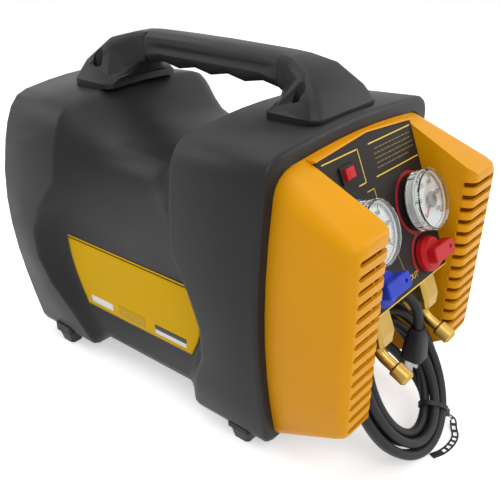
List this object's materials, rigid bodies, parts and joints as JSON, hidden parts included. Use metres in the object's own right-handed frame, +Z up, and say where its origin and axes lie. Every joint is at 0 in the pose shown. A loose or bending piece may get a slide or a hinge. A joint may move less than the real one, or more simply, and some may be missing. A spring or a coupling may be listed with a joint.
{
  "type": "refrigerant recovery machine",
  "caption": "Portable refrigerant recovery machine with a carrying handle, a sloping control panel between louvred bumpers, ports and a coiled power cord.",
  "frame": {"origin": "on the floor, under the middle of the machine without its cord", "axes": "+X to the right of someone facing the control panel, +Y from the control panel to the rear, +Z up"},
  "size_m": [0.2722, 0.4901, 0.3665],
  "materials": {
    "case_black": "satin",
    "bezel_orange": "satin",
    "panel_black": "matte",
    "rubber_black": "matte",
    "clear_plastic": "clear",
    "dial_white": "matte",
    "knob_red": "satin",
    "knob_blue": "satin",
    "brass": "machined",
    "steel": "zinc plated",
    "aluminium": "cast",
    "copper": "drawn copper",
    "motor_grey": "painted"
  },
  "bodies": {
    "housing": {"base_plate": "steel", "cable_tie": "rubber_black", "case_shell": "case_black", "condenser_core": "aluminium", "condenser_header_left": "copper", "condenser_header_right": "copper", "condenser_line": "copper", "control_panel": "panel_black", "cord_coil": "rubber_black", "crankcase": "aluminium", "cylinder_head_left": "aluminium", "cylinder_head_right": "aluminium", "discharge_line": "copper", "foot_front_left": "rubber_black", "foot_front_right": "rubber_black", "foot_rear_left": "rubber_black", "foot_rear_right": "rubber_black", "front_bezel": "bezel_orange", "handle_grip": "rubber_black", "handle_mount_front": "case_black", "handle_mount_rear": "case_black", "handle_screw_front_left": "steel", "handle_screw_front_right": "steel", "handle_screw_rear_left": "steel", "handle_screw_rear_right": "steel", "inlet_gauge_body": "panel_black", "inlet_gauge_dial": "dial_white", "inlet_gauge_lens": "clear_plastic", "inlet_port_cap": "brass", "inlet_port_elbow": "brass", "inlet_valve_block": "brass", "motor": "motor_grey", "motor_cradle": "steel", "outlet_gauge_body": "panel_black", "outlet_gauge_dial": "dial_white", "outlet_gauge_lens": "clear_plastic", "outlet_port_cap": "brass", "outlet_port_elbow": "brass", "outlet_valve_block": "brass", "plug_lead": "rubber_black", "power_cord": "rubber_black", "power_plug": "rubber_black", "power_switch_housing": "panel_black", "rear_cover": "case_black", "recess_plate": "panel_black", "run_capacitor": "aluminium", "strain_relief": "rubber_black", "suction_line": "copper"},
    "inlet_knob": {"inlet_valve_knob": "knob_blue", "inlet_valve_stem": "steel"},
    "outlet_knob": {"outlet_valve_knob": "knob_red", "outlet_valve_stem": "steel"},
    "inlet_needle": {"inlet_gauge_needle": "knob_blue"},
    "outlet_needle": {"outlet_gauge_needle": "knob_red"},
    "rocker": {"power_switch_rocker": "knob_red"},
    "rotor": {"motor_shaft": "steel", "cooling_fan": "case_black"}
  },
  "joints": [
    {"name": "inlet_valve_turn", "type": "hinge", "parent": "housing", "child": "inlet_knob", "pos_m": [-0.043, -0.19564, 0.1914], "axis": [0, -0.9157, 0.4019], "range_deg": [-90, 0]},
    {"name": "inlet_gauge_sweep", "type": "hinge", "parent": "housing", "child": "inlet_needle", "pos_m": [-0.046, -0.18809, 0.24269], "axis": [0, -0.9157, 0.4019], "range_deg": [-270, 0], "stiffness_Nm_per_rad": 0.002},
    {"name": "outlet_valve_turn", "type": "hinge", "parent": "housing", "child": "outlet_knob", "pos_m": [0.043, -0.19564, 0.1914], "axis": [0, -0.9157, 0.4019], "range_deg": [-90, 0]},
    {"name": "outlet_gauge_sweep", "type": "hinge", "parent": "housing", "child": "outlet_needle", "pos_m": [0.046, -0.18809, 0.24269], "axis": [0, -0.9157, 0.4019], "range_deg": [-270, 0], "stiffness_Nm_per_rad": 0.002},
    {"name": "power_switch_rock", "type": "hinge", "parent": "housing", "child": "rocker", "pos_m": [-0.04, -0.15281, 0.284], "axis": [0, 0.4019, 0.9157], "range_deg": [-18, 0]},
    {"name": "fan_spin", "type": "hinge", "parent": "housing", "child": "rotor", "pos_m": [0, 0.18689, 0.135], "axis": [0, 1, 0], "continuous": true}
  ]
}
